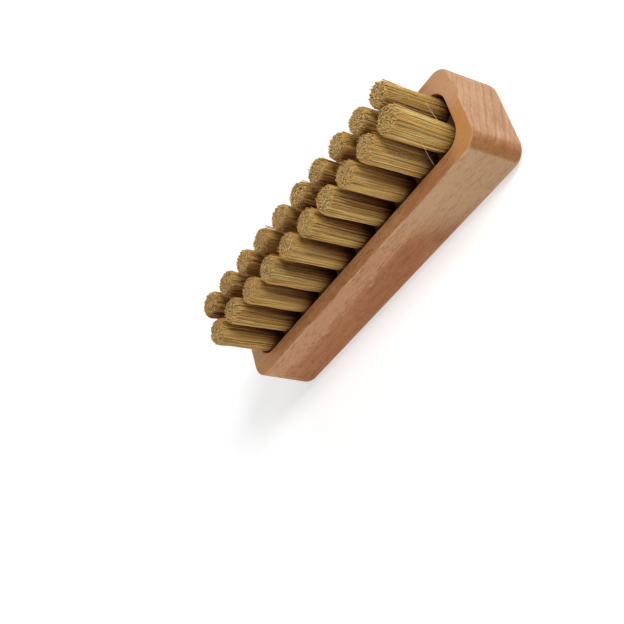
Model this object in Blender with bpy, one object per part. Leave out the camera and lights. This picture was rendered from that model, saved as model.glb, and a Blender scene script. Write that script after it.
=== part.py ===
"""Small hand brush for cleaning leather.

A beech block with a routed recess carries two rows of fibre tufts. Each tuft is folded over a flat metal
anchor and sits in a blind hole of its own. The brush lies on its flat back with the tufts pointing up.
Metres, +Z up, the origin at the middle of the back, +X along the length.
"""

import math

import bmesh
import bpy
from mathutils import Matrix

# Hole pattern, which the block is laid out around
TUFTS_PER_ROW = 10
ROWS = {"near": -1, "far": 1}
HOLE_DIAMETER = 0.0070
HOLE_DEPTH = 0.0080
WALL_BETWEEN_TUFTS = 0.0021
WALL_BETWEEN_ROWS = 0.0021

# Block
RECESS_SIDE_MARGIN = 0.00075
RECESS_END_MARGIN = 0.00125
RECESS_DEPTH = 0.0030
RECESS_CORNER_RADIUS = 0.0050
RIM_SIDE_WIDTH = 0.0047
RIM_END_WIDTH = 0.0043
WOOD_UNDER_HOLES = 0.0065
CORNER_RADIUS = 0.0050
BACK_FILLET = 0.0028
FACE_EASING = 0.0004

# Tuft, with its flare past the hole's radius at the cut ends
TUFT_REACH = 0.0167
TUFT_FLARE = 0.00025
STRAND_SEAT = 0.0005
STRANDS_PER_RING = (1, 6, 13)
STRAND_WIDTH_SHARE = 0.65

# Anchor, which bites into the wood at each end
ANCHOR_BITE = 0.0006
ANCHOR_HEIGHT = 0.0022
ANCHOR_THICKNESS = 0.0004
ANCHOR_ANGLE = math.radians(45)
FOLD_THICKNESS = 0.0010

# Clearance between touching pieces, and how far a cutter runs past what it cuts
FIT_GAP = 0.0003
OVERRUN = 0.0010

# Facets
CORNER_SEGMENTS = 8
FILLET_SEGMENTS = 4
EASING_SEGMENTS = 2
HOLE_SEGMENTS = 24
PLUG_SEGMENTS = 14
STRAND_SIDES = 4

# Sizes worked out from the ones above
TUFT_PITCH = HOLE_DIAMETER + WALL_BETWEEN_TUFTS
ROW_SPACING = HOLE_DIAMETER + WALL_BETWEEN_ROWS
RECESS_LENGTH = (TUFTS_PER_ROW - 1) * TUFT_PITCH + HOLE_DIAMETER + 2 * RECESS_END_MARGIN
RECESS_WIDTH = ROW_SPACING + HOLE_DIAMETER + 2 * RECESS_SIDE_MARGIN
BLOCK_LENGTH = RECESS_LENGTH + 2 * RIM_END_WIDTH
BLOCK_WIDTH = RECESS_WIDTH + 2 * RIM_SIDE_WIDTH
RECESS_FLOOR = WOOD_UNDER_HOLES + HOLE_DEPTH
BLOCK_THICKNESS = RECESS_FLOOR + RECESS_DEPTH
TUFT_TOP = BLOCK_THICKNESS + TUFT_REACH
PLUG_RADIUS = HOLE_DIAMETER / 2 - FIT_GAP
PLUG_BOTTOM = WOOD_UNDER_HOLES + FIT_GAP
ANCHOR_LENGTH = HOLE_DIAMETER + 2 * ANCHOR_BITE
WINDOW_BOTTOM = PLUG_BOTTOM + FOLD_THICKNESS
ANCHOR_MIDDLE = WINDOW_BOTTOM + FIT_GAP + ANCHOR_HEIGHT / 2


def make_material(name, color, roughness, metallic):
    material = bpy.data.materials.new(name)
    material.use_nodes = True
    shader = material.node_tree.nodes["Principled BSDF"]
    shader.inputs["Base Color"].default_value = (*color, 1)
    shader.inputs["Roughness"].default_value = roughness
    shader.inputs["Metallic"].default_value = metallic
    material.diffuse_color = (*color, 1)
    return material


def clear_scene():
    for obj in list(bpy.data.objects):
        bpy.data.objects.remove(obj)


def new_collection(name):
    collection = bpy.data.collections.new(name)
    bpy.context.scene.collection.children.link(collection)
    return collection


def mesh_from(shape, name):
    """Turns a bmesh into a mesh, with its normals pointing out."""
    bmesh.ops.recalc_face_normals(shape, faces=shape.faces)
    mesh = bpy.data.meshes.new(name)
    shape.to_mesh(mesh)
    shape.free()
    return mesh


def box_in(shape, length, width, height, middle):
    """Adds a box to a bmesh and returns its vertices."""
    size = Matrix.Diagonal((length, width, height, 1))
    return bmesh.ops.create_cube(shape, size=1, matrix=middle @ size)["verts"]


def round_edges(shape, edges, radius, segments):
    bmesh.ops.bevel(
        shape,
        geom=edges,
        affect="EDGES",
        offset_type="OFFSET",
        offset=radius,
        segments=segments,
        profile=0.5,
    )


def rounded_prism(shape, length, width, bottom, top, radius):
    """Adds an upright prism with rounded corners, centred on the Z axis."""
    middle = Matrix.Translation((0, 0, (bottom + top) / 2))
    box_in(shape, length, width, top - bottom, middle)
    upright = [edge for edge in shape.edges if edge.verts[0].co.xy == edge.verts[1].co.xy]
    round_edges(shape, upright, radius, CORNER_SEGMENTS)


def edges_at_height(shape, height):
    """The edges that run round the prism at this height."""
    near = FACE_EASING / 2
    return [edge for edge in shape.edges if all(abs(v.co.z - height) < near for v in edge.verts)]


def add_cutter(name, shape):
    cutter = bpy.data.objects.new(name, mesh_from(shape, name))
    cutter.hide_render = True
    cutter.display_type = "WIRE"
    cutters.objects.link(cutter)
    return cutter


def add_boolean(obj, cutter, operation):
    modifier = obj.modifiers.new(cutter.name, "BOOLEAN")
    modifier.operation = operation
    modifier.solver = "EXACT"
    modifier.object = cutter


def add_part(name, mesh, material, place=Matrix.Identity(4)):
    part = bpy.data.objects.new(name, mesh)
    if not mesh.materials:
        mesh.materials.append(material)
    brush.objects.link(part)
    part.parent = base
    part.matrix_world = place
    return part


def shade_round(mesh):
    mesh.shade_smooth()
    mesh.set_sharp_from_angle(angle=math.radians(35))


def tuft_places():
    """Name and upright axis of each tuft. Number 01 is at the +X end."""
    first = (TUFTS_PER_ROW - 1) * TUFT_PITCH / 2
    for row, side in ROWS.items():
        for index in range(TUFTS_PER_ROW):
            x = first - index * TUFT_PITCH
            turn = ANCHOR_ANGLE + math.pi * (index % 2)
            place = Matrix.Translation((x, side * ROW_SPACING / 2, 0)) @ Matrix.Rotation(turn, 4, "Z")
            yield f"{row}_{index + 1:02d}", place


def anchor_seat(shape, place):
    """Adds the room that one anchor takes, with its clearance, to a bmesh."""
    middle = place @ Matrix.Translation((0, 0, ANCHOR_MIDDLE))
    gaps = 2 * FIT_GAP
    box_in(shape, ANCHOR_LENGTH + gaps, ANCHOR_THICKNESS + gaps, ANCHOR_HEIGHT + gaps, middle)


def recess_cutter():
    shape = bmesh.new()
    top = BLOCK_THICKNESS + OVERRUN
    rounded_prism(shape, RECESS_LENGTH, RECESS_WIDTH, RECESS_FLOOR, top, RECESS_CORNER_RADIUS)
    return add_cutter("recess_cutter", shape)


def hole_cutter():
    shape = bmesh.new()
    top = RECESS_FLOOR + OVERRUN
    for _, place in tuft_places():
        bmesh.ops.create_cone(
            shape,
            cap_ends=True,
            segments=HOLE_SEGMENTS,
            radius1=HOLE_DIAMETER / 2,
            radius2=HOLE_DIAMETER / 2,
            depth=top - WOOD_UNDER_HOLES,
            matrix=place @ Matrix.Translation((0, 0, (top + WOOD_UNDER_HOLES) / 2)),
        )
    return add_cutter("hole_cutter", shape)


def slot_cutter():
    shape = bmesh.new()
    for _, place in tuft_places():
        anchor_seat(shape, place)
    return add_cutter("slot_cutter", shape)


def make_block():
    shape = bmesh.new()
    rounded_prism(shape, BLOCK_LENGTH, BLOCK_WIDTH, 0, BLOCK_THICKNESS, CORNER_RADIUS)
    round_edges(shape, edges_at_height(shape, 0), BACK_FILLET, FILLET_SEGMENTS)
    round_edges(shape, edges_at_height(shape, BLOCK_THICKNESS), FACE_EASING, EASING_SEGMENTS)
    mesh = mesh_from(shape, "handle_block")
    shade_round(mesh)
    block = add_part("handle_block", mesh, beech)
    for cutter in (recess_cutter(), hole_cutter(), slot_cutter()):
        add_boolean(block, cutter, "DIFFERENCE")


def strand_bundle():
    """All strands of one tuft, in rings about the middle one, spread a little towards the cut ends.

    The outer ring's corners meet the flats of the root, and a strand is as wide as its share of the way
    to its neighbour there.
    """
    shape = bmesh.new()
    bottom = RECESS_FLOOR - STRAND_SEAT
    root_flat = PLUG_RADIUS * math.cos(math.pi / PLUG_SEGMENTS)
    half_width = STRAND_WIDTH_SHARE * math.sin(math.pi / STRANDS_PER_RING[-1])
    outer_ring = root_flat / (1 + half_width / math.cos(math.pi / STRAND_SIDES))
    half_width *= outer_ring
    to_corner = half_width / math.cos(math.pi / STRAND_SIDES)
    ring_step = outer_ring / (len(STRANDS_PER_RING) - 1)
    square_on = Matrix.Rotation(math.pi / STRAND_SIDES, 4, "Z")
    for ring, count in enumerate(STRANDS_PER_RING):
        for index in range(count):
            around = Matrix.Rotation(index * math.tau / count, 4, "Z")
            out = Matrix.Translation((ring * ring_step, 0, (bottom + TUFT_TOP) / 2))
            bmesh.ops.create_cone(
                shape,
                cap_ends=True,
                segments=STRAND_SIDES,
                radius1=to_corner,
                radius2=to_corner,
                depth=TUFT_TOP - bottom,
                matrix=around @ out @ square_on,
            )
    spread = (HOLE_DIAMETER / 2 + TUFT_FLARE) / (outer_ring + half_width)
    for vert in shape.verts:
        if vert.co.z > BLOCK_THICKNESS:
            vert.co.xy *= spread
    return add_cutter("strand_bundle", shape)


def window_cutter():
    shape = bmesh.new()
    anchor_seat(shape, Matrix.Identity(4))
    return add_cutter("window_cutter", shape)


def tuft_mesh():
    """One tuft: the bound root that fills the hole, its window for the anchor, and the free strands."""
    shape = bmesh.new()
    bmesh.ops.create_cone(
        shape,
        cap_ends=True,
        segments=PLUG_SEGMENTS,
        radius1=PLUG_RADIUS,
        radius2=PLUG_RADIUS,
        depth=RECESS_FLOOR - PLUG_BOTTOM,
        matrix=Matrix.Translation((0, 0, (RECESS_FLOOR + PLUG_BOTTOM) / 2)),
    )
    pattern = add_cutter("tuft_pattern", shape)
    add_boolean(pattern, window_cutter(), "DIFFERENCE")
    add_boolean(pattern, strand_bundle(), "UNION")
    graph = bpy.context.evaluated_depsgraph_get()
    mesh = bpy.data.meshes.new_from_object(pattern.evaluated_get(graph))
    mesh.name = "bristle_tuft"
    bpy.data.objects.remove(pattern)
    return mesh


def anchor_mesh():
    shape = bmesh.new()
    middle = Matrix.Translation((0, 0, ANCHOR_MIDDLE))
    box_in(shape, ANCHOR_LENGTH, ANCHOR_THICKNESS, ANCHOR_HEIGHT, middle)
    return mesh_from(shape, "anchor")


def make_tufts():
    tuft = tuft_mesh()
    anchor = anchor_mesh()
    for name, place in tuft_places():
        add_part(f"bristle_tuft_{name}", tuft, fibre, place)
        add_part(f"anchor_{name}", anchor, steel, place)


clear_scene()
brush = new_collection("leather_cleaning_brush")
cutters = new_collection("cutters")
base = bpy.data.objects.new("brush_base", None)
brush.objects.link(base)
beech = make_material("beech", (0.52, 0.27, 0.13), 0.5, 0)
fibre = make_material("natural_fibre", (0.48, 0.31, 0.11), 0.6, 0)
steel = make_material("anchor_wire", (0.62, 0.62, 0.6), 0.35, 1)
make_block()
make_tufts()
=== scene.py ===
import math

import bpy
import numpy as np
from mathutils import Matrix, Vector, noise


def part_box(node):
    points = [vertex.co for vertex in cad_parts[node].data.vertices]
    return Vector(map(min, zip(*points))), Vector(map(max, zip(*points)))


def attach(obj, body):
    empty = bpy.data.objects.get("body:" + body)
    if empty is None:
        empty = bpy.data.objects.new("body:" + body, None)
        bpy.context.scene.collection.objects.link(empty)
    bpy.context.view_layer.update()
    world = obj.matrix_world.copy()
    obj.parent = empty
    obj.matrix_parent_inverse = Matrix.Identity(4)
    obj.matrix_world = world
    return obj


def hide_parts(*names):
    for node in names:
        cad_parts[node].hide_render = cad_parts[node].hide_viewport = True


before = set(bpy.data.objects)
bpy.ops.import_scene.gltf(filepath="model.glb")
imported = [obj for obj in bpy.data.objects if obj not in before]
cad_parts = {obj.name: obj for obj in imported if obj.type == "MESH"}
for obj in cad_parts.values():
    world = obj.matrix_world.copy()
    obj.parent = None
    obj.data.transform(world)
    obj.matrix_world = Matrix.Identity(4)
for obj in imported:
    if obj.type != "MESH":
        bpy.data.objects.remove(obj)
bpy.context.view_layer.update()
mm = 0.001
speck = 0.01 * mm             # too small to count as a distance
print("frame loaded:", len(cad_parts), "solids")


# Camera, where the photograph was taken from

photoCamera = {
    "aim": (-16.9 * mm, -14.2 * mm, 20.9 * mm),
    "distance": 307.4 * mm,
    "azimuth": -43.17,        # degrees, from the aim towards the camera
    "elevation": 33.79,
    "roll": -78.96,
    "focalPixels": 1174.4,
    "framePixels": 624,
    "sensor": 36,             # millimetres
    "clipStart": 1 * mm,
}


def wayTo(azimuth, elevation):
    # the direction at this azimuth and elevation, in degrees
    around, up = math.radians(azimuth), math.radians(elevation)
    return Vector((math.cos(up) * math.cos(around), math.cos(up) * math.sin(around), math.sin(up)))


def makeCamera(s):
    way = wayTo(s["azimuth"], s["elevation"])
    turn = way.to_track_quat("Z", "Y").to_matrix() @ Matrix.Rotation(math.radians(s["roll"]), 3, "Z")
    bpy.ops.object.camera_add(location=Vector(s["aim"]) + way * s["distance"], rotation=turn.to_euler())
    camera = bpy.context.object
    camera.data.sensor_width = s["sensor"]
    camera.data.lens = s["focalPixels"] * s["sensor"] / s["framePixels"]
    camera.data.clip_start = s["clipStart"]
    bpy.context.scene.camera = camera


makeCamera(photoCamera)
print("camera placed")


# Small helpers for modelling as by hand

def addPrimitive(operator, name, **settings):
    # adds a primitive with nothing else selected, and names it
    bpy.ops.object.select_all(action="DESELECT")
    operator(**settings)
    piece = bpy.context.object
    piece.name = name
    bpy.ops.object.transform_apply(location=True, rotation=True, scale=True)
    return piece


def addBox(name, low, high, turn=0.0):
    # a box between two corners, turned about its own upright axis
    low, high = Vector(low), Vector(high)
    return addPrimitive(
        bpy.ops.mesh.primitive_cube_add, name, size=1,
        location=(low + high) / 2, rotation=(0, 0, turn), scale=high - low)


def makeActive(piece):
    bpy.ops.object.select_all(action="DESELECT")
    piece.select_set(True)
    bpy.context.view_layer.objects.active = piece


def pickEdges(piece, test):
    # goes to edit mode with the edges selected whose two ends pass the test
    makeActive(piece)
    mesh = piece.data
    for part in (mesh.vertices, mesh.edges, mesh.polygons):
        part.foreach_set("select", [False] * len(part))
    bpy.context.tool_settings.mesh_select_mode = (False, True, False)
    for edge in mesh.edges:
        edge.select = test(*(mesh.vertices[index].co for index in edge.vertices))
    bpy.ops.object.mode_set(mode="EDIT")


def bevelEdges(piece, radius, segments, test):
    pickEdges(piece, test)
    bpy.ops.mesh.bevel(offset=radius, segments=segments, affect="EDGES", clamp_overlap=False)
    bpy.ops.object.mode_set(mode="OBJECT")


def atHeight(height):
    # a test for edges that lie at one height
    return lambda a, b: abs(a.z - height) < speck and abs(b.z - height) < speck


def upright(a, b):
    return (a.xy - b.xy).length < speck


def applyModifier(piece, kind, **settings):
    makeActive(piece)
    modifier = piece.modifiers.new(kind.lower(), kind)
    for name, value in settings.items():
        setattr(modifier, name, value)
    bpy.ops.object.modifier_apply(modifier=modifier.name)


def cutAway(piece, cutter):
    applyModifier(piece, "BOOLEAN", operation="DIFFERENCE", solver="EXACT", object=cutter)
    bpy.data.objects.remove(cutter)


def joinAll(pieces, name):
    makeActive(pieces[0])
    for piece in pieces:
        piece.select_set(True)
    bpy.ops.object.join()
    pieces[0].name = name
    return pieces[0]


def smoothByAngle(piece, degrees):
    makeActive(piece)
    bpy.ops.object.shade_smooth_by_angle(angle=math.radians(degrees))


def finishPiece(piece, material, slot, *nodes):
    # the piece wears its material, rides on the brush and stands for its solids
    piece.data.materials.clear()
    piece.data.materials.append(material)
    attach(piece, "root")
    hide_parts(*nodes)


# Shader maths as plain expressions

class Signal:
    # a socket, whose sums and products add Math nodes
    def __init__(self, graph, socket):
        self.graph, self.socket = graph, socket

    def math(self, operation, first, second=0):
        return self.graph.node("ShaderNodeMath", {"operation": operation}, {0: first, 1: second})

    def __add__(self, other):
        return self.math("ADD", self, other)

    def __radd__(self, other):
        return self.math("ADD", other, self)

    def __sub__(self, other):
        return self.math("SUBTRACT", self, other)

    def __rsub__(self, other):
        return self.math("SUBTRACT", other, self)

    def __mul__(self, other):
        return self.math("MULTIPLY", self, other)

    def __rmul__(self, other):
        return self.math("MULTIPLY", other, self)

    def __abs__(self):
        return self.math("ABSOLUTE", self)

    def exponent(self):
        return self.math("EXPONENT", self)

    def fraction(self):
        # what is left above the whole number below it
        return self.math("FRACT", self)

    def least(self, other):
        return self.math("MINIMUM", self, other)

    def most(self, other):
        return self.math("MAXIMUM", self, other)

    def output(self, name):
        return Signal(self.graph, self.socket.node.outputs[name])

    def rise(self, start, end, low=0.0, high=1.0):
        # goes smoothly from low to high as the signal goes from start to end
        return self.graph.node(
            "ShaderNodeMapRange", {"interpolation_type": "SMOOTHSTEP"},
            {"Value": self, "From Min": start, "From Max": end, "To Min": low, "To Max": high})


class Graph:
    # the node tree of a material or of the world
    def __init__(self, owner):
        owner.use_nodes = True
        self.owner, self.tree = owner, owner.node_tree
        self.tree.nodes.clear()

    def node(self, kind, settings, sockets):
        # settings come first, then each socket gets its value or its link
        made = self.tree.nodes.new(kind)
        for name, value in settings.items():
            if name == "stops":
                self.setStops(made.color_ramp, value)
            else:
                setattr(made, name, value)
        for name, value in sockets.items():
            if isinstance(value, Signal):
                self.tree.links.new(value.socket, made.inputs[name])
            else:
                made.inputs[name].default_value = value
        return Signal(self, made.outputs[0]) if made.outputs else made

    def setStops(self, ramp, stops):
        while len(ramp.elements) < len(stops):
            ramp.elements.new(1)
        for element, (place, colour) in zip(ramp.elements, stops):
            element.position = place
            element.color = colour

    def ramp(self, factor, places, colours):
        return self.node("ShaderNodeValToRGB", {"stops": list(zip(places, colours))}, {"Fac": factor})

    def blend(self, factor, first, second, how="MIX"):
        # mixes two colours, which are this node's inputs 6 and 7 and its output 2
        mixed = self.node(
            "ShaderNodeMix", {"data_type": "RGBA", "blend_type": how},
            {"Factor": factor, 6: first, 7: second})
        return Signal(self, mixed.socket.node.outputs[2])

    def layered(self, colour, layers):
        # lays each factor's colour over what is there
        for factor, *over in layers:
            colour = self.blend(factor, colour, *over)
        return colour

    def place(self, scale=1.0):
        # the place on the piece in metres, or times the scale
        spot = self.node("ShaderNodeTexCoord", {}, {}).output("Object")
        return self.stretched(spot, (scale, scale, scale), (0, 0, 0))

    def stretched(self, vector, stretch, shift):
        return self.node(
            "ShaderNodeMapping", {}, {"Vector": vector, "Scale": stretch, "Location": shift})

    def cloud(self, vector, stretch, shift=(0, 0, 0), detail=2, roughness=0.5, distortion=0,
              between=None):
        # noise, or where it lies between two levels, how far it has come
        field = self.node(
            "ShaderNodeTexNoise", {},
            {"Vector": self.stretched(vector, stretch, shift), "Scale": 1, "Detail": detail,
             "Roughness": roughness, "Distortion": distortion})
        return field.rise(*between) if between else field

    def axes(self, vector):
        split = self.node("ShaderNodeSeparateXYZ", {}, {"Vector": vector})
        return split.output("X"), split.output("Y"), split.output("Z")

    def normal(self):
        return self.axes(self.node("ShaderNodeNewGeometry", {}, {}).output("Normal"))

    def bump(self, height, distance, strength=0.5):
        return self.node(
            "ShaderNodeBump", {}, {"Height": height, "Distance": distance, "Strength": strength})

    def surface(self, sockets):
        shader = self.node("ShaderNodeBsdfPrincipled", {}, sockets)
        self.node("ShaderNodeOutputMaterial", {}, {"Surface": shader})


def weighed(start, fields, shares):
    # the start and each named field times its share
    for name, share in shares.items():
        start = start + fields[name] * share
    return start


def tone(red, green, blue):
    # a colour as a screen shows it, from 0 to 255, made linear by the usual screen curve
    levels = [level / 255 for level in (red, green, blue)]
    return (*[((v + 0.055) / 1.055) ** 2.4 if v > 0.04045 else v / 12.92 for v in levels], 1)


# Beech block

blockShape = {
    "cornerRadius": 5.0 * mm, "cornerSegments": 14,
    "backFillet": 2.8 * mm, "filletSegments": 8,
    "faceEasing": 0.45 * mm, "easingSegments": 3,
    "rimSide": 4.7 * mm, "rimEnd": 4.3 * mm,
    "recessDepth": 3.0 * mm, "recessRadius": 5.0 * mm, "recessSegments": 12,
    "recessEasing": 0.3 * mm,
    "mouthFrom": 0.8,         # of the rim's width: edges further in belong to the recess's mouth
    "holeRadius": 3.5 * mm, "holeSegments": 40, "woodUnderHoles": 6.5 * mm,
    "overrun": 1.0 * mm,      # of a cutter past the face that it opens
    "slotGap": 0.3 * mm,      # round the anchor
    "smoothAngle": 32, "normalWeight": 80,
}

beechLook = {
    # the wood's own tones, lengthways and on the end grain
    "deep": tone(160, 102, 60), "middle": tone(192, 134, 87), "pale": tone(214, 162, 114),
    "endDeep": tone(177, 125, 84), "endMiddle": tone(201, 151, 108), "endPale": tone(214, 166, 124),
    "rampPlaces": (0.18, 0.5, 0.82),
    # tones and tints of single places
    "beige": tone(199, 163, 123), "sideTint": tone(238, 224, 204), "sidePale": tone(200, 146, 103),
    "backTint": tone(232, 213, 186), "cornerTint": tone(217, 188, 138),
    # the rim's end colours are painted light
    "rimEnd": tone(214, 165, 118), "rimGold": tone(200, 141, 80), "rimPaintedLight": tone(242, 186, 132),
    # the streak colour is a painted sheen on the end grain
    "fleck": tone(126, 76, 42), "paintedSheen": tone(240, 200, 168),
    "wearAndHighlight": tone(226, 182, 140), "paintedRecessShade": tone(68, 40, 22),
    "rings": {
        "spacing": 2.9,       # millimetres between growth rings, deep in the block
        "faceRings": 1.4,     # rings that crowd in under the bristle face
        "faceDepth": 4.0,     # millimetres that they reach down
        "tilt": (0.28, 0.96),         # how the rings' normal leans, across and up
        "slope": 0.012, "wander": 3.2,
        "starts": (0.0, 0.05), "fades": (0.06, 0.45),     # of the dark late wood, in each ring
        "weight": 0.12, "endWeight": 0.36,
    },
    # noise: how often it repeats per millimetre along, across and up, its shift, its make, and the
    # levels between which a mark comes in
    "patterns": {
        "ringWander": {"stretch": (0.018, 0.06, 0.06), "roughness": 0.45},
        "ringStrength": {"stretch": (0.01, 0.12, 0.12), "shift": (7, 3, 1), "detail": 1},
        "streaks": {"stretch": (0.16, 1.3, 0.3), "between": (0.54, 0.7)},
        "grain": {"stretch": (0.12, 3.4, 3.4), "detail": 4, "roughness": 0.62},
        "cloudy": {"stretch": (0.035, 0.11, 0.11), "shift": (3, 9, 4), "detail": 3},
        "mottle": {"stretch": (0.22, 0.75, 0.75), "shift": (1, 6, 8), "detail": 3, "roughness": 0.6},
        "patch": {"stretch": (0.06, 0.16, 0.16), "shift": (2, 8, 5), "detail": 1},
        "dashes": {"stretch": (0.42, 1.9, 1.9), "shift": (11, 5, 2), "distortion": 0.1,
                   "between": (0.54, 0.64)},
        "specks": {"stretch": (0.9, 3.0, 3.0), "shift": (4, 7, 1), "detail": 1, "between": (0.6, 0.68)},
        "hairs": {"stretch": (0.13, 3.6, 3.6), "shift": (5, 3, 12), "detail": 1, "roughness": 0.4,
                  "between": (0.68, 0.78)},
        "rays": {"stretch": (1.2, 3.2, 0.5), "shift": (1, 4, 9), "between": (0.56, 0.72)},
        "pores": {"stretch": (1.1, 9.0, 9.0), "between": (0.5, 0.72)},
        "dots": {"stretch": (0.9, 0.9, 0.55), "shift": (6, 2, 3), "detail": 3, "roughness": 0.6,
                 "between": (0.5, 0.68)},
    },
    # where each zone starts and ends, and at times how strong it is there: by the turn of the surface,
    # by the level of a pattern, or in millimetres
    "zones": {
        "endGrain": (0.55, 0.9), "side": (0.6, 0.9), "face": (0.5, 0.85),
        "beigeAlong": (10, 30), "beigeAcross": (-1, 1, 0.8, 0.35),
        "paleNearFace": (10.2, 8.2),
        "lowSide": (3, 13, 1.0, 0.0),
        "paintedBackShade": (3.2, 1.2), "paintedBackShadeAlong": (15, -20),
        "paintedRimShade": (15, 32), "paintedRimShadeEnd": (46, 38),
        "rimEnds": (38, 47), "rimStrength": (-20, 20, 0.85, 0.8), "cleanRim": (38, 44),
        "plusHalf": (-20, 20), "minusHalf": (20, -20),
        "farAcross": (-3, 5), "insideAcross": (-11, -6.5),
        "patchy": (0.25, 0.55), "wornAndHighlit": (0.44, 0.56),
        "arc": (-3.95, -3.3), "cornerAlong": (-20, 30, 0.4, 1.0), "cornerTurn": (0.7, 1.0, 1.0, 0.5),
        "edge": (-0.62, -0.2),
        "rim": (-4.2, -3.7), "recessUp": (15.2, 17.4),
    },
    "beigeWander": 40.0, "paleNearFaceWander": 8.0,      # millimetres that these borders stray
    "weights": {
        "dashes": 0.9, "specks": 0.7, "hairs": 0.15, "cleanRim": 0.75,
        "paleNearFace": 0.9, "face": 0.15, "paintedRimShade": 0.5, "paintedBackShade": 0.9,
        "fleck": 0.52, "lessOnBeige": 0.28, "rays": 0.1, "paintedSheen": 0.35, "pores": 0.14,
        "dots": 0.4, "edge": 0.4, "wearAndHighlight": 0.38, "paintedRecessShade": 0.8,
    },
    "toneShares": {"cloudy": 0.75, "grain": 0.32, "mottle": 0.6, "rings": -1.0},
    "wornAndHighlitShares": {"patch": 0.65, "mottle": 0.35},
    "roughness": 0.5,
    "roughShares": {"grain": 0.25, "fleck": 0.12, "wornAndHighlit": -0.08, "inRecess": 0.4},
    "heightShares": {"grain": 0.5, "pores": -0.3, "fleck": -0.9, "mottle": 0.6},
    "bumpDistance": 0.03 * mm,
    "specular": 0.35, "coat": 0.06, "coatRoughness": 0.32,
}


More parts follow.
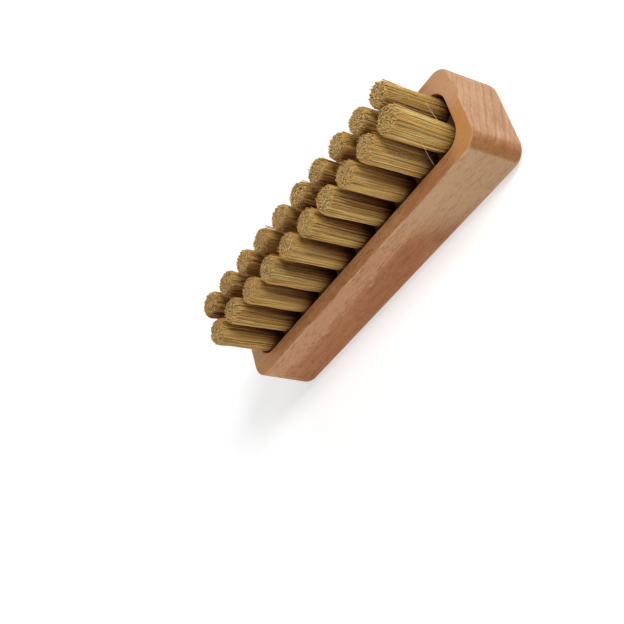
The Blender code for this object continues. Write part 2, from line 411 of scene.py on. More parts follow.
def beechMaterial(s, half, middle):
    # half and middle are the block's half sizes and middle, in millimetres
    g = Graph(bpy.data.materials.new("beech_oiled"))
    rings, weights = s["rings"], s["weights"]
    place = g.place(1 / mm)
    x, y, z = g.axes(place)
    normalX, normalY, normalZ = g.normal()

    def zone(signal, name):
        return signal.rise(*s["zones"][name])

    def pattern(name, where=place):
        return g.cloud(where, **s["patterns"][name])

    endGrain = zone(abs(normalX), "endGrain")
    lengthways = 1.0 - endGrain
    side = zone(abs(normalY), "side")
    face = zone(normalZ, "face")

    # growth rings, nearly flat as far out from the log's middle, and crowded under the bristle face
    across, up = rings["tilt"]
    depth = (middle[2] + half[2] - z) * up - y * across + x * rings["slope"]
    depth = depth + (pattern("ringWander") - 0.5) * rings["wander"]
    crowded = 1.0 - (depth * (-1 / rings["faceDepth"])).exponent()
    turn = (depth * (1 / rings["spacing"]) + crowded * rings["faceRings"]).fraction()
    lateWood = turn.rise(*rings["starts"]) * (1.0 - turn.rise(*rings["fades"]))
    ringMarks = lateWood * pattern("ringStrength") * (rings["weight"] + endGrain * rings["endWeight"])
    alongRings = y * up + (z - middle[2]) * across
    ringField = g.node("ShaderNodeCombineXYZ", {}, {"X": alongRings, "Y": depth, "Z": x})
    # pale streaks along the rings of the end grain: painted sheen
    paintedSheen = pattern("streaks", ringField) * endGrain

    # long fine grain, broad clouds of colour and the short dark ray flecks
    grain, cloudy, mottle, patch, pores = (
        pattern(name) for name in ("grain", "cloudy", "mottle", "patch", "pores"))
    fleck = (pattern("dashes") * zone(patch, "patchy") * weights["dashes"]
             + pattern("specks") * weights["specks"] + pattern("hairs") * weights["hairs"])
    cleanRim = face * zone(abs(x), "cleanRim") * weights["cleanRim"]
    fleck = fleck.least(1.0) * lengthways * (1.0 - cleanRim)
    rays = pattern("rays") * endGrain

    # the rounded corners are darker, the edges are rubbed pale, partly wear and partly painted
    # highlight, and the recess floor is painted dark as shade
    pastX, pastY, pastZ = (
        abs(at - centre) - reach for at, centre, reach in zip((x, y, z), middle, half))
    arc = zone(pastX + pastY, "arc")
    corner = arc * (1.0 - face) * zone(x, "cornerAlong") * zone(abs(normalX), "cornerTurn")
    nearEdge = pastX + pastY + pastZ - pastX.least(pastY.least(pastZ))
    edge = zone(nearEdge, "edge") * (1.0 - arc)
    wornAndHighlitPattern = weighed(0.0, {"patch": patch, "mottle": mottle}, s["wornAndHighlitShares"])
    wornAndHighlit = edge * zone(wornAndHighlitPattern, "wornAndHighlit")
    inRecess = (1.0 - zone(pastX.most(pastY), "rim")) * (1.0 - zone(z, "recessUp"))

    fields = {
        "cloudy": cloudy - 0.5, "grain": grain - 0.5, "mottle": mottle - 0.5, "rings": ringMarks,
        "pores": pores, "fleck": fleck, "wornAndHighlit": wornAndHighlit, "inRecess": inRecess,
    }
    tones = weighed(0.5, fields, s["toneShares"])
    sides = g.ramp(tones, s["rampPlaces"], (s["deep"], s["middle"], s["pale"]))
    ends = g.ramp(tones, s["rampPlaces"], (s["endDeep"], s["endMiddle"], s["endPale"]))
    beige = zone(x + fields["cloudy"] * s["beigeWander"], "beigeAlong") * zone(y, "beigeAcross")
    # the sides paler near the bristle face, following the rings, and darker towards the back
    paleNearFace = zone(depth + fields["mottle"] * s["paleNearFaceWander"], "paleNearFace")
    # a stretch of the rim on the +X half painted darker: painted shadow of the tufts
    paintedRimShade = zone(x, "paintedRimShade") * zone(x, "paintedRimShadeEnd")
    # the back edge's fillet on the −X half painted darker: painted shade
    paintedBackShade = zone(z, "paintedBackShade") * zone(x, "paintedBackShadeAlong") * lengthways
    # the rim's ends painted lighter and more golden, the −X end's inner half palest: painted light
    # against the tufts' shade
    rimEndsPaintedLight = g.layered(s["rimGold"], [
        (zone(y, "farAcross") * zone(x, "plusHalf"), s["rimEnd"]),
        (zone(y, "insideAcross") * zone(x, "minusHalf"), s["rimPaintedLight"]),
    ])
    colour = g.layered(sides, [
        (endGrain, ends),
        (side, s["sideTint"], "MULTIPLY"),
        (side * paleNearFace * weights["paleNearFace"], s["sidePale"]),
        (side * zone(z, "lowSide"), s["backTint"], "MULTIPLY"),
        (side * beige, s["beige"]),
        (face * weights["face"], s["pale"]),
        (face * paintedRimShade * weights["paintedRimShade"], s["deep"]),
        (face * zone(abs(x), "rimEnds") * zone(x, "rimStrength"), rimEndsPaintedLight),
        (paintedBackShade * weights["paintedBackShade"], s["deep"]),
        (fleck * (weights["fleck"] - side * beige * weights["lessOnBeige"]), s["fleck"]),
        (rays * weights["rays"], s["deep"]),
        (paintedSheen * weights["paintedSheen"], s["paintedSheen"]),
        (pores * weights["pores"], s["fleck"]),
        (corner, s["cornerTint"], "MULTIPLY"),
        (corner * pattern("dots") * weights["dots"], s["fleck"]),
        ((edge - wornAndHighlit) * weights["edge"], s["deep"]),
        # pale line along the edges: partly wear, partly painted highlight
        (wornAndHighlit * weights["wearAndHighlight"], s["wearAndHighlight"]),
        # the recess floor painted dark: painted shade between and under the tufts
        (inRecess * weights["paintedRecessShade"], s["paintedRecessShade"]),
    ])
    g.surface({
        "Base Color": colour, "Roughness": weighed(s["roughness"], fields, s["roughShares"]),
        "Specular IOR Level": s["specular"],
        "Coat Weight": s["coat"] - inRecess * s["coat"], "Coat Roughness": s["coatRoughness"],
        "Normal": g.bump(weighed(0.0, fields, s["heightShares"]), s["bumpDistance"])})
    return g.owner


def middleOf(node):
    low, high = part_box(node)
    return (low + high) / 2


def plateReach(s):
    # half of an anchor's size
    return Vector((s["length"], s["thickness"], s["height"])) / 2


def makeBlock(s):
    low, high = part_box("handle_block")
    floorHeight = high.z - s["recessDepth"]
    block = addBox("brush_block", low, high)
    bevelEdges(block, s["cornerRadius"], s["cornerSegments"], upright)
    bevelEdges(block, s["backFillet"], s["filletSegments"], atHeight(low.z))
    bevelEdges(block, s["faceEasing"], s["easingSegments"], atHeight(high.z))

    rim = Vector((s["rimEnd"], s["rimSide"], 0))
    lift = Vector((0, 0, s["overrun"]))
    inner = low + rim
    inner.z = floorHeight
    pocket = addBox("pocket", inner, high - rim + lift)
    bevelEdges(pocket, s["recessRadius"], s["recessSegments"], upright)
    cutAway(block, pocket)

    holes, slots = [], []
    bottom, top = low.z + s["woodUnderHoles"], floorHeight + s["overrun"]
    reach = plateReach(anchorShape) + Vector((s["slotGap"],) * 3)
    for name in tuftNames():
        plate = middleOf("anchor_" + name)
        holes.append(addPrimitive(
            bpy.ops.mesh.primitive_cylinder_add, "hole", vertices=s["holeSegments"],
            radius=s["holeRadius"], depth=top - bottom,
            location=(plate.x, plate.y, (top + bottom) / 2)))
        slots.append(addBox("slot", plate - reach, plate + reach, anchorShape["turn"]))
    cutAway(block, joinAll(holes, "holes"))
    cutAway(block, joinAll(slots, "slots"))

    mouthLow, mouthHigh = low + rim * s["mouthFrom"], high - rim * s["mouthFrom"]
    onFace = atHeight(high.z)

    def insideRim(point):
        return mouthLow.x < point.x < mouthHigh.x and mouthLow.y < point.y < mouthHigh.y

    bevelEdges(block, s["recessEasing"], s["easingSegments"],
               lambda a, b: onFace(a, b) and insideRim(a) and insideRim(b))
    smoothByAngle(block, s["smoothAngle"])
    applyModifier(block, "WEIGHTED_NORMAL", keep_sharp=True, weight=s["normalWeight"])
    wood = beechMaterial(beechLook, (high - low) / 2 / mm, (high + low) / 2 / mm)
    finishPiece(block, wood, "beech", "handle_block")


# Steel anchors, each across the foot of its tuft

anchorShape = {
    "length": 8.2 * mm, "thickness": 0.4 * mm, "height": 2.2 * mm,
    "turn": math.radians(45),
    "cornerRadius": 0.35 * mm, "cornerSegments": 3,
    "edgeRadius": 0.09 * mm, "edgeSegments": 2,
    "smoothAngle": 40,
}

steelLook = {
    "dark": tone(150, 149, 145), "bright": tone(196, 195, 190), "stain": tone(112, 98, 82),
    "rampPlaces": (0.3, 0.7),
    "drawn": {"stretch": (0.9, 0.9, 16.0), "detail": 3},      # per millimetre
    "stains": {"stretch": (0.7, 0.7, 0.7), "detail": 4, "roughness": 0.6, "between": (0.5, 0.75)},
    "stainWeight": 0.5,
    "roughness": 0.28, "roughShares": {"drawn": 0.2, "stain": 0.25},
    "bumpDistance": 0.01 * mm,
}


def steelMaterial(s):
    g = Graph(bpy.data.materials.new("anchor_steel"))
    place = g.place(1 / mm)
    drawn = g.cloud(place, **s["drawn"])
    stain = g.cloud(place, **s["stains"])
    colour = g.ramp(drawn, s["rampPlaces"], (s["dark"], s["bright"]))
    g.surface({
        "Base Color": g.blend(stain * s["stainWeight"], colour, s["stain"]), "Metallic": 1.0,
        "Roughness": weighed(s["roughness"], {"drawn": drawn, "stain": stain}, s["roughShares"]),
        "Normal": g.bump(drawn, s["bumpDistance"])})
    return g.owner


def makeAnchors(s):
    # one strip of steel with its corners nipped round and its edges eased, then a copy for each tuft
    reach = plateReach(s)
    pattern = addBox("anchor_pattern", -reach, reach)
    bevelEdges(pattern, s["cornerRadius"], s["cornerSegments"],
               lambda a, b: abs(a.x - b.x) < speck and abs(a.z - b.z) < speck)
    bevelEdges(pattern, s["edgeRadius"], s["edgeSegments"],
               lambda a, b: abs(a.y - b.y) < speck and abs(abs(a.y) - reach.y) < speck)
    smoothByAngle(pattern, s["smoothAngle"])
    steel = steelMaterial(steelLook)
    for name in tuftNames():
        plate = pattern.copy()
        plate.data = pattern.data.copy()
        plate.name = "anchor_plate_" + name
        bpy.context.scene.collection.objects.link(plate)
        plate.data.transform(
            Matrix.Translation(middleOf("anchor_" + name)) @ Matrix.Rotation(s["turn"], 4, "Z"))
        finishPiece(plate, steel, "anchor_wire", "anchor_" + name)
    bpy.data.objects.remove(pattern)


# Tufts: fibres folded over the anchor, so that each has two cut ends

tuftShape = {
    "perRow": 10,
    "fibres": 460,                # about as many are folded into each tuft
    "placeJitter": 0.07 * mm,     # how unevenly they fill its hole
    "fibreRadius": 0.108 * mm, "radiusSpreadShare": 0.28,
    "sides": 4, "smoothAngle": 80,
    "legHeights": (0.0, 6.2 * mm, 12.6 * mm),     # rings below the cut end
    "rootRadius": 3.3 * mm,       # of the fibres' middles in the hole
    "mouthRadius": 3.4 * mm,      # where they leave it
    "tipRadius": 3.5 * mm,
    "tipSpread": {"near_01": 1.07, "far_01": 0.94},       # times the tip radius, where it is another
    "spreadPower": 0.75,          # under 1, the tuft widens soon after its hole
    "plateRoom": 0.36 * mm,       # how far the anchor pushes the nearest fibres aside
    "foldDepth": 0.62 * mm,       # below the anchor, of the outermost fold
    "foldGap": 0.2 * mm,
    "foldTurns": (22, 90, 158),   # degrees round the fold, of its rings
    "shoulder": 0.8 * mm,         # rounding of the trimmed end
    "shoulderEnd": 0.985,         # of that rounding, past which the trim falls no further
    "crown": 0.14 * mm,           # rise of its middle
    "trimScatter": 0.16 * mm, "trimOver": 0.28 * mm,
    "longShare": 0.1, "longBy": 0.5 * mm,
    "strayShare": 0.05, "strayShift": 0.55 * mm, "strayPower": 1.5,
    "strayFrom": 0.8,             # of the root radius: only fibres further out stray
    "partOfShift": (0.3, 1.0),    # what a long or stray fibre takes of its shift
    # fibres that stand close together wander as one: wide clumps all the way, small locks at the tips
    "clumpShift": 0.3 * mm, "clumpSize": 1.4 * mm, "clumpRate": 0.09,     # changes per millimetre up
    "clumpAtTip": 0.75, "clumpHalfway": 0.6,      # of that shift
    "lockShift": 0.19 * mm, "lockSize": 0.65 * mm, "lockRate": 0.05, "lockPower": 3,
    "ownShift": 0.07 * mm, "curlShare": 0.8,
    "noiseSeed": 7, "clumpSeed": 3.7, "lockSeed": 50, "toneSeed": 1.3,    # where each noise starts
    # each fibre's place between the darkest tone, 0, and the palest, 1
    # each tuft painted a little darker than the one before it from the +X end: painted shade
    "tone": 0.59, "paintedShadeFall": 0.018,      # for each tuft from the +X end
    "toneSize": 0.9 * mm, "toneClumps": (0.25, 0.65), "toneScatter": 0.06,
    "darkTone": 0.05, "darkShare": 0.035, "darkSpread": (0.5, 2.0),
    # painted shade where a neighbour stands close, at each ring from the cut end, and how narrow that
    # side is
    "shelterBeside": (0.0, 0.54, 0.8, 0.84), "narrowBeside": 1.8,     # by one in its row
    "shelterAcross": (0.6, 0.8, 0.85, 0.85), "narrowAcross": 3.0,     # by the other row
    "freerTufts": 2, "freerShare": 0.4,       # those nearest the +X end stand in more light
    "looseRadius": 0.055 * mm, "looseTone": 1.4, "looseDegree": 4,
    "loose": {                    # a stray fibre's points, in millimetres
        "near_01": ((41.8, -4.3, 14.6), (42.7, -3.8, 17.6), (43.7, -3.2, 20.2), (44.4, -2.4, 21.5),
                    (44.5, -1.0, 22.1), (44.3, 0.6, 22.5), (44.3, 2.2, 22.8)),
        "near_02": ((34.2, -7.4, 15.0), (35.2, -8.1, 17.0), (36.1, -8.3, 18.5), (38.1, -8.3, 21.6),
                    (40.0, -8.3, 24.3), (41.3, -8.25, 26.1)),
    },
    "tips": {                     # how far each leans along and across and stands proud, from +X
        "near": ((-0.25, 0.68, 0.2), (-0.2, 0.1, 0.35), (-0.08, -0.33, 0.35), (0.17, -0.55, 0.45),
                 (0.13, -0.32, 0.3), (0.21, -0.5, 0.4), (-0.13, -0.4, 0.4), (-0.19, -0.55, 0.45),
                 (-0.65, 0.05, 0.3), (-0.31, -0.5, 0.15)),
        "far": ((0.05, -0.3, 0.25), (0.34, -0.48, 0.2), (0.33, -0.2, 0.2), (0.23, -0.3, 0.25),
                (0.45, -0.38, 0.35), (0.48, -0.2, 0.35), (0.11, -0.28, 0.3), (0.0, -0.05, 0.25),
                (-0.08, -0.27, 0.4), (-0.43, -0.35, 0.3)),
    },
}

fibreLook = {
    "tones": (tone(132, 92, 50), tone(202, 160, 91), tone(236, 195, 117), tone(251, 220, 148),
              tone(252, 232, 178)),
    "rampPlaces": (0.1, 0.3, 0.54, 0.86, 1.0),
    # the fibres darker towards the root: painted shade deep between the crowded tufts
    "root": tone(98, 53, 30), "rootFades": (-0.05, 0.38),     # as shares of the way to the tip
    "tipTint": tone(230, 222, 205), "tipStarts": (0.7, 1.0),
    # the colour of the painted shade where a neighbouring tuft stands close
    "paintedShadeTint": tone(140, 74, 42),
    "cutEnd": tone(252, 209, 138), "cutLight": tone(255, 237, 182), "cutDark": tone(96, 58, 30),
    "along": {"stretch": (2.6, 2.6, 0.32), "detail": 3, "roughness": 0.6},    # per millimetre
    "fine": {"stretch": (9.0, 9.0, 1.3), "shift": (4, 2, 7)},
    "knots": {"stretch": (1.7, 1.7, 1.7), "detail": 1},
    "toneStart": -0.01, "toneShares": {"own": 0.7, "along": 0.3, "fine": 0.12},
    "cutTurn": (0.6, 0.9), "cutWeight": 0.85,
    "lotSteps": 41.0,             # each fibre draws its own cut from its tone
    "lightKnots": (0.47, 0.6), "lightShares": (0.6, 0.4),     # for all cuts, and more by lot
    "darkKnots": (0.46, 0.3), "darkShares": (0.22, 0.35),
    "roughness": 0.52, "alongRough": 0.2, "cutRough": 0.25,
    "specular": 0.35, "bumpDistance": 0.03 * mm,
    "subsurface": 0.6, "subsurfaceRadius": (1.0, 0.7, 0.35), "subsurfaceScale": 0.4 * mm,
}


def tuftNames():
    places = range(1, tuftShape["perRow"] + 1)
    return [f"{row}_{place:02d}" for row in ("near", "far") for place in places]


def fibreMaterial(s):
    g = Graph(bpy.data.materials.new("natural_fibre_strands"))
    place = g.place(1 / mm)
    own, reach, paintedShade = (
        g.node("ShaderNodeAttribute", {"attribute_name": name}, {}).output("Fac")
        for name in ("fibreTone", "fibreReach", "fibreShelter"))
    along, fine, knots = (g.cloud(place, **s[name]) for name in ("along", "fine", "knots"))
    cut = g.normal()[2].rise(*s["cutTurn"])

    tones = weighed(s["toneStart"], {"own": own, "along": along, "fine": fine - 0.5}, s["toneShares"])
    lot = (own * s["lotSteps"]).fraction()
    (light, lightByLot), (dark, darkByLot) = s["lightShares"], s["darkShares"]
    ends = g.layered(s["cutEnd"], [
        (knots.rise(*s["lightKnots"]) * (light + lot * lightByLot), s["cutLight"]),
        (knots.rise(*s["darkKnots"]) * (dark + lot * darkByLot), s["cutDark"]),
    ])
    colour = g.layered(g.ramp(tones, s["rampPlaces"], s["tones"]), [
        # painted shade towards the roots
        (1.0 - reach.rise(*s["rootFades"]), s["root"], "MULTIPLY"),
        # painted shade on the sides that face a neighbouring tuft
        (paintedShade, s["paintedShadeTint"], "MULTIPLY"),
        (reach.rise(*s["tipStarts"]), s["tipTint"], "MULTIPLY"),
        (cut * s["cutWeight"], ends),
    ])
    g.surface({
        "Base Color": colour,
        "Roughness": s["roughness"] + (along - 0.5) * s["alongRough"] + cut * s["cutRough"],
        "Specular IOR Level": s["specular"], "Subsurface Weight": s["subsurface"],
        "Subsurface Radius": s["subsurfaceRadius"], "Subsurface Scale": s["subsurfaceScale"],
        "Normal": g.bump(fine + along, s["bumpDistance"])})
    return g.owner


def patternFibre(s):
    # a straight rod with a ring for each stop along a folded fibre, modelled once
    rings = 2 * (len(s["legHeights"]) + 2) + len(s["foldTurns"])
    rod = addPrimitive(
        bpy.ops.mesh.primitive_cylinder_add, "fibre_pattern", vertices=s["sides"], radius=1,
        depth=rings - 1, end_fill_type="NGON", location=(0, 0, (rings - 1) / 2))
    pickEdges(rod, lambda a, b: abs(a.z - b.z) > 0.5)
    bpy.ops.mesh.subdivide(number_cuts=rings - 2)
    bpy.ops.object.mode_set(mode="OBJECT")
    points = np.array([vertex.co for vertex in rod.data.vertices])
    # its rings will run the other way, from the cut end down, so its faces are turned here
    faces = [list(face.vertices)[::-1] for face in rod.data.polygons]
    bpy.data.objects.remove(rod)
    return {
        "rings": rings, "ring": np.rint(points[:, 2]).astype(int),
        "angle": np.arctan2(points[:, 1], points[:, 0]), "faces": faces,
    }


def tuftPlan(s, name, seed):
    # what is this tuft's own: where it stands, its lean and its random draws
    row, place = name.split("_")
    *lean, proud = s["tips"][row][int(place) - 1]
    lean = Vector(lean) * mm
    lean.rotate(Matrix.Rotation(-anchorShape["turn"], 2))
    plateLow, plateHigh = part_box("anchor_" + name)
    foot = (plateLow + plateHigh) / 2
    foot.z = 0
    return {
        "row": row, "place": int(place), "lean": lean,
        "tipRadius": s["tipRadius"] * s["tipSpread"].get(name, 1.0),
        "tip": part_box("bristle_tuft_" + name)[1].z + proud * mm,
        "mouth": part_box("handle_block")[1].z - blockShape["recessDepth"],
        "plateLow": plateLow.z, "plateHigh": plateHigh.z,
        "toPlace": Matrix.Translation(foot) @ Matrix.Rotation(anchorShape["turn"], 4, "Z"),
        "seed": seed, "rng": np.random.default_rng(seed),
    }


def clumps(start, u, v, heights, size):
    # the same slow wandering for fibres that stand close together, from this start in the noise
    return np.array([
        [noise.noise_vector(Vector((start + a / size, b / size, height))) for height in heights]
        for a, b in zip(u, v)])


def legPlaces(s, tuft, u, v, heights, share):
    # where fibres that start at u and v in the hole stand at each height: clumped, spread and leaning
    rng, count = tuft["rng"], len(u)
    bend = np.sin(share * math.pi)
    spread = s["mouthRadius"] + (tuft["tipRadius"] - s["mouthRadius"]) * share ** s["spreadPower"]
    start = tuft["seed"] * s["clumpSeed"]
    wave = clumps(start, u, v, heights * s["clumpRate"] / mm, s["clumpSize"])
    locks = clumps(start + s["lockSeed"], u, v, heights * s["lockRate"] / mm, s["lockSize"])
    locks = locks * s["lockShift"] * (share ** s["lockPower"])[..., None]
    own = rng.normal(0, s["ownShift"], (count, 2))
    curl = rng.normal(0, s["ownShift"] * s["curlShare"], (count, 2))
    strength = s["clumpShift"] * (s["clumpAtTip"] * share + s["clumpHalfway"] * bend)
    flat = []
    for axis, root in enumerate((u, v)):
        at = root[:, None] / s["rootRadius"] * spread
        at = at + wave[..., axis] * strength + locks[..., axis]
        flat.append(at + own[:, axis, None] * share + curl[:, axis, None] * bend)
    x, y = flat

    outer = np.hypot(u, v) > s["strayFrom"] * s["rootRadius"]
    stray = (rng.random(count) < s["strayShare"]) & outer
    push = np.where(stray, rng.uniform(*s["partOfShift"], count) * s["strayShift"], 0)[:, None]
    outwards = 1 + push * share ** s["strayPower"] / np.maximum(np.hypot(x, y), speck)
    x, y = x * outwards + tuft["lean"].x * share, y * outwards + tuft["lean"].y * share
    z = np.repeat(heights[None, :], count, 0)
    z[:, 0] += np.minimum(rng.normal(0, s["trimScatter"], count), s["trimOver"])
    long = rng.random(count) < s["longShare"]
    z[:, 0] += long * rng.uniform(*s["partOfShift"], count) * s["longBy"]
    return np.stack([x, y, z], -1)


def fibrePaths(s, tuft):
    # each folded fibre's ring middles, about the tuft's own axis, and the tone that it shares with its
    # neighbours; then, alike for all, each ring's outward way and its share of the way to the tip
    rng = tuft["rng"]
    count = 2 * s["fibres"]
    order = np.arange(count) + 0.5
    angle = order * math.pi * (3 - math.sqrt(5)) + rng.uniform(0, math.tau)   # as seeds in a sunflower
    away = s["rootRadius"] * np.sqrt(order / count)
    jitter = rng.normal(0, s["placeJitter"], (2, count))
    u, v = away * np.cos(angle) + jitter[0], away * np.sin(angle) + jitter[1]
    u, v = u[v > 0], v[v > 0]
    heights = np.array([tuft["tip"] - drop for drop in s["legHeights"]] + [tuft["mouth"]])
    share = (heights - heights[-1]) / (heights[0] - heights[-1])
    one, two = (legPlaces(s, tuft, u, side * v, heights, share[None, :]) for side in (1, -1))

    # past the anchor the fibres part to its two sides, then pass under it
    turns = np.radians(s["foldTurns"])[None, :]
    aside = s["plateRoom"] + v * (1 - s["plateRoom"] / s["rootRadius"])
    depth = s["foldGap"] + (s["foldDepth"] - s["foldGap"]) * (aside / s["rootRadius"])
    plateTop = np.full(len(u), tuft["plateHigh"] + s["foldGap"])
    beside = np.stack([u, aside, plateTop], -1)[:, None]
    fold = np.stack([
        np.repeat(u[:, None], turns.size, 1), aside[:, None] * np.cos(turns),
        tuft["plateLow"] - depth[:, None] * np.sin(turns)], -1)
    middles = np.concatenate([one, beside, fold, beside * (1, -1, 1), two[:, ::-1]], 1)
    legs = len(heights) + 1
    tilt = np.concatenate([np.zeros(legs), turns[0], np.full(legs, math.pi)])
    outward = np.stack([np.zeros(len(tilt)), np.cos(tilt), -np.sin(tilt)], -1)
    reach = np.concatenate([share, np.zeros(turns.size + 2), share[::-1]])
    shared = clumps(tuft["seed"] * s["toneSeed"], u, v, [0.0], s["toneSize"])[:, 0, 0]
    return middles, shared, outward, reach


def trimmed(s, tuft, places):
    # how far the rounded trim lies under the tuft's height, at these places of the cut ends
    edge = tuft["tipRadius"] + s["fibreRadius"]
    away = np.hypot(places[..., 0] - tuft["lean"].x, places[..., 1] - tuft["lean"].y)
    past = np.clip(away - (edge - s["shoulder"]), 0, s["shoulder"] * s["shoulderEnd"])
    return s["shoulder"] - np.sqrt(s["shoulder"] ** 2 - past ** 2) + s["crown"] * (away / edge) ** 2


def sweptFibres(s, tuft, pattern, middles, outward):
    # the pattern fibre's points along each path, each turned and thickened by chance, then trimmed
    rng, ring, oneEach = tuft["rng"], pattern["ring"], (len(middles), 1)
    around = pattern["angle"][None, :] + rng.uniform(0, math.tau, oneEach)
    thick = s["fibreRadius"] * (1 + rng.uniform(-1, 1, oneEach) * s["radiusSpreadShare"])
    sideways = np.array([1.0, 0.0, 0.0])
    places = middles[:, ring] + thick[..., None] * (
        np.cos(around)[..., None] * sideways + np.sin(around)[..., None] * outward[ring][None])
    cut = (ring == 0) | (ring == pattern["rings"] - 1)
    places[:, cut, 2] -= trimmed(s, tuft, places[:, cut])
    return places


def fibreTones(s, tuft, shared):
    # lighter and darker fibres, partly alike where they stand together, and a few dark ones
    rng, count = tuft["rng"], len(shared)
    # painted shade: each tuft a little darker towards the −X end
    usual = s["tone"] - s["paintedShadeFall"] * tuft["place"]
    tones = usual + shared * rng.uniform(*s["toneClumps"]) + rng.normal(0, s["toneScatter"], count)
    tones = np.clip(tones, 0, 1)
    tones[rng.random(count) < s["darkShare"] * rng.uniform(*s["darkSpread"])] = s["darkTone"]
    return tones


def paintedShadeOf(s, tuft, middles):
    # from 0 to 1, the painted shade on each fibre, at each of its rings, by how closely a neighbouring
    # tuft stands over it
    turn = anchorShape["turn"]
    x = middles[..., 0] * math.cos(turn) - middles[..., 1] * math.sin(turn)
    y = middles[..., 0] * math.sin(turn) + middles[..., 1] * math.cos(turn)
    neighbours = [(y if tuft["row"] == "near" else -y, s["narrowAcross"], s["shelterAcross"])]
    if tuft["place"] > 1:
        neighbours.append((x, s["narrowBeside"], s["shelterBeside"]))
    if tuft["place"] < s["perRow"]:
        neighbours.append((-x, s["narrowBeside"], s["shelterBeside"]))
    total = np.zeros(x.shape)
    for towards, narrow, levels in neighbours:
        facing = np.clip(towards / s["rootRadius"], 0, 1)
        deep = np.full(x.shape[1] - 2 * len(levels), levels[-1])
        total = np.maximum(total, facing ** narrow * np.concatenate([levels, deep, levels[::-1]]))
    return total * (s["freerShare"] if tuft["place"] <= s["freerTufts"] else 1.0)


def looseFibre(s, tuft, pattern, route):
    # one stray fibre through these points, bent smoothly, about the tuft's own axis
    ring, around = pattern["ring"], pattern["angle"][:, None]
    route = np.array(route) * mm
    length = np.concatenate([[0], np.cumsum(np.linalg.norm(np.diff(route, axis=0), axis=1))])
    stops = np.linspace(0, length[-1], pattern["rings"])
    middles = np.stack([
        np.polynomial.Polynomial.fit(length, route[:, axis], s["looseDegree"])(stops)
        for axis in range(3)], -1)
    along = np.gradient(middles, axis=0)
    first = np.cross(along, (0, 0, 1))
    first /= np.linalg.norm(first, axis=1, keepdims=True)
    second = np.cross(first, along)
    second /= np.linalg.norm(second, axis=1, keepdims=True)
    places = middles[ring] + s["looseRadius"] * (
        np.cos(around) * first[ring] + np.sin(around) * second[ring])
    fromPlace = np.array(tuft["toPlace"].inverted())
    return places @ fromPlace[:3, :3].T + fromPlace[:3, 3]


def makeTuft(s, name, seed, pattern, fibre):
    # copies the pattern fibre along each path and turns the whole to the anchor's angle
    tuft = tuftPlan(s, name, seed)
    middles, shared, outward, reach = fibrePaths(s, tuft)
    places = sweptFibres(s, tuft, pattern, middles, outward)
    tones = fibreTones(s, tuft, shared)
    paintedShade = paintedShadeOf(s, tuft, middles)[:, pattern["ring"]]
    reach = np.repeat(reach[pattern["ring"]][None], len(middles), 0)
    if name in s["loose"]:
        # it stands free in the light and is as pale as a tip all along
        stray = looseFibre(s, tuft, pattern, s["loose"][name])
        places = np.concatenate([places, stray[None]])
        tones = np.append(tones, s["looseTone"])
        paintedShade = np.concatenate([paintedShade, np.zeros((1, len(stray)))])
        reach = np.concatenate([reach, np.ones((1, len(stray)))])

    count, pointsEach = places.shape[:2]
    mesh = bpy.data.meshes.new("tuft_" + name)
    mesh.from_pydata(places.reshape(-1, 3), [], [
        [index + copy * pointsEach for index in face]
        for copy in range(count) for face in pattern["faces"]])
    values = {
        "fibreTone": np.repeat(tones[:, None], pointsEach, 1),
        "fibreReach": reach,
        "fibreShelter": paintedShade,
    }
    for key, value in values.items():
        attribute = mesh.attributes.new(key, "FLOAT", "POINT")
        attribute.data.foreach_set("value", value.ravel().astype(np.float32))
    mesh.transform(tuft["toPlace"])
    bundle = bpy.data.objects.new("tuft_" + name, mesh)
    bpy.context.scene.collection.objects.link(bundle)
    smoothByAngle(bundle, s["smoothAngle"])
    finishPiece(bundle, fibre, "natural_fibre", "bristle_tuft_" + name)


makeBlock(blockShape)
print("block made")
makeAnchors(anchorShape)
print("anchors made")
noise.seed_set(tuftShape["noiseSeed"])
fibrePattern = patternFibre(tuftShape)
strands = fibreMaterial(fibreLook)
for seed, name in enumerate(tuftNames(), 1):
    makeTuft(tuftShape, name, seed, fibrePattern, strands)
print("tufts made")


# Pale floor and plain soft studio light

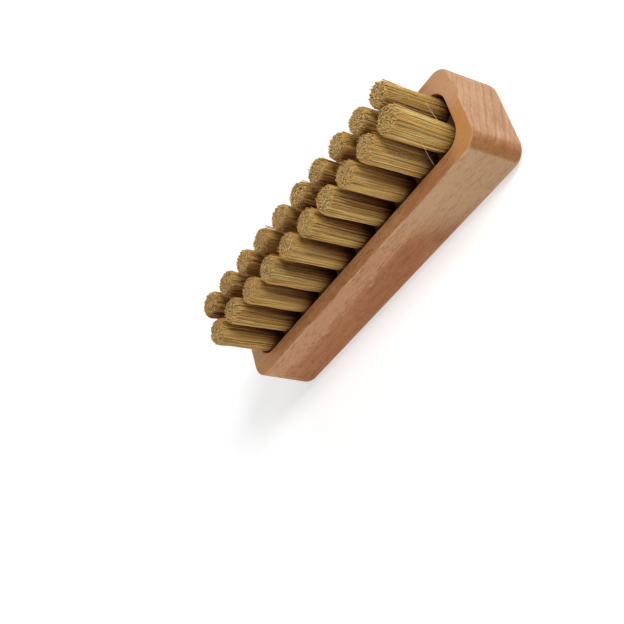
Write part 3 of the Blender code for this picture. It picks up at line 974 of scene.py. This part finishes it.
studio = {
    "floorSize": 8.0, "floorDrop": 0.02 * mm,
    "floorColour": (0.80, 0.80, 0.80, 1),
    "floorGlow": 0.5,             # by the brush, and full white further out
    "glowReach": (0.07, 0.3),     # metres from the middle, between which it gets there
    "worldStrength": 0.18,
    "white": (1, 1, 1, 1), "black": (0, 0, 0, 1),
    "lamps": (
        # azimuth, elevation, distance, side, light on a surface that faces it
        (6, 38, 0.9, 0.34, 0.62),
        (75, 34, 0.9, 0.5, 0.22),
        (-112, 16, 0.9, 0.5, 0.42),
    ),
}


def seenStraight(g):
    # 1 where the camera, a reflection or a refraction sees the surface itself
    path = g.node("ShaderNodeLightPath", {}, {})
    seen = path.output("Is Camera Ray").most(path.output("Is Glossy Ray"))
    return seen.most(path.output("Is Transmission Ray"))


def makeFloor(s):
    floor = addPrimitive(
        bpy.ops.mesh.primitive_plane_add, "floor",
        size=s["floorSize"], location=(0, 0, -s["floorDrop"]))
    g = Graph(bpy.data.materials.new("floor_paper"))
    away = g.node("ShaderNodeVectorMath", {"operation": "LENGTH"}, {0: g.place()}).output("Value")
    glow = seenStraight(g) * away.rise(*s["glowReach"], s["floorGlow"], 1.0)
    g.surface({
        "Base Color": s["floorColour"], "Roughness": 1.0, "Specular IOR Level": 0.0,
        "Emission Color": g.blend(glow, s["black"], s["white"]), "Emission Strength": 1.0})
    floor.data.materials.append(g.owner)


def makeWorld(s):
    world = bpy.data.worlds.new("studio")
    bpy.context.scene.world = world
    g = Graph(world)
    light, backdrop = (
        g.node("ShaderNodeBackground", {}, {"Color": s["white"], "Strength": strength})
        for strength in (s["worldStrength"], 1.0))
    both = g.node("ShaderNodeMixShader", {}, {0: seenStraight(g), 1: light, 2: backdrop})
    g.node("ShaderNodeOutputWorld", {}, {"Surface": both})


def makeLamps(s):
    for azimuth, elevation, distance, side, level in s["lamps"]:
        way = wayTo(azimuth, elevation)
        bpy.ops.object.light_add(
            type="AREA", location=way * distance, rotation=way.to_track_quat("Z", "Y").to_euler())
        lamp = bpy.context.object.data
        lamp.shape = "SQUARE"
        lamp.size = side
        lamp.energy = level * (math.pi * distance) ** 2


makeFloor(studio)
makeWorld(studio)
makeLamps(studio)
bpy.context.scene.view_settings.view_transform = "Standard"
print("studio made")
